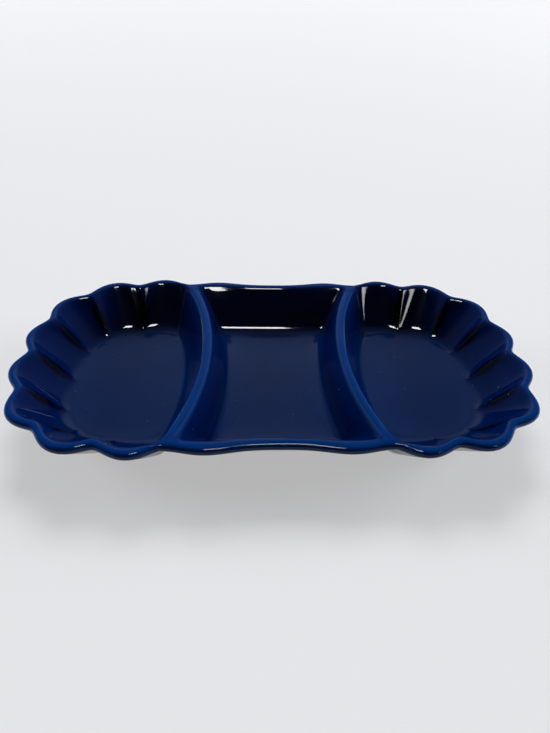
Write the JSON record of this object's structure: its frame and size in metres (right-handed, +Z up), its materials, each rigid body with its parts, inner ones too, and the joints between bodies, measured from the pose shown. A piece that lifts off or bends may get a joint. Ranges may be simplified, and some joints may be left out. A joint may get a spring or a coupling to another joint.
{
  "type": "relish dish",
  "caption": "Long shallow serving dish with a square centre well between scalloped shell-shaped end wells, bowed dividers and bare foot rings, in blue glazed stoneware.",
  "frame": {"origin": "on the table, under the middle of the dish", "axes": "+X along the length through both shell ends, +Y across the dish, +Z up"},
  "size_m": [0.3444, 0.1798, 0.036],
  "materials": {
    "stoneware": "bare fired clay, matt",
    "blue_glaze": "glossy cobalt-blue glaze"
  },
  "bodies": {
    "root": {"stoneware_body": "stoneware", "blue_glaze_coat": "blue_glaze", "left_base_glaze": "blue_glaze", "centre_base_glaze": "blue_glaze", "right_base_glaze": "blue_glaze"}
  },
  "joints": []
}
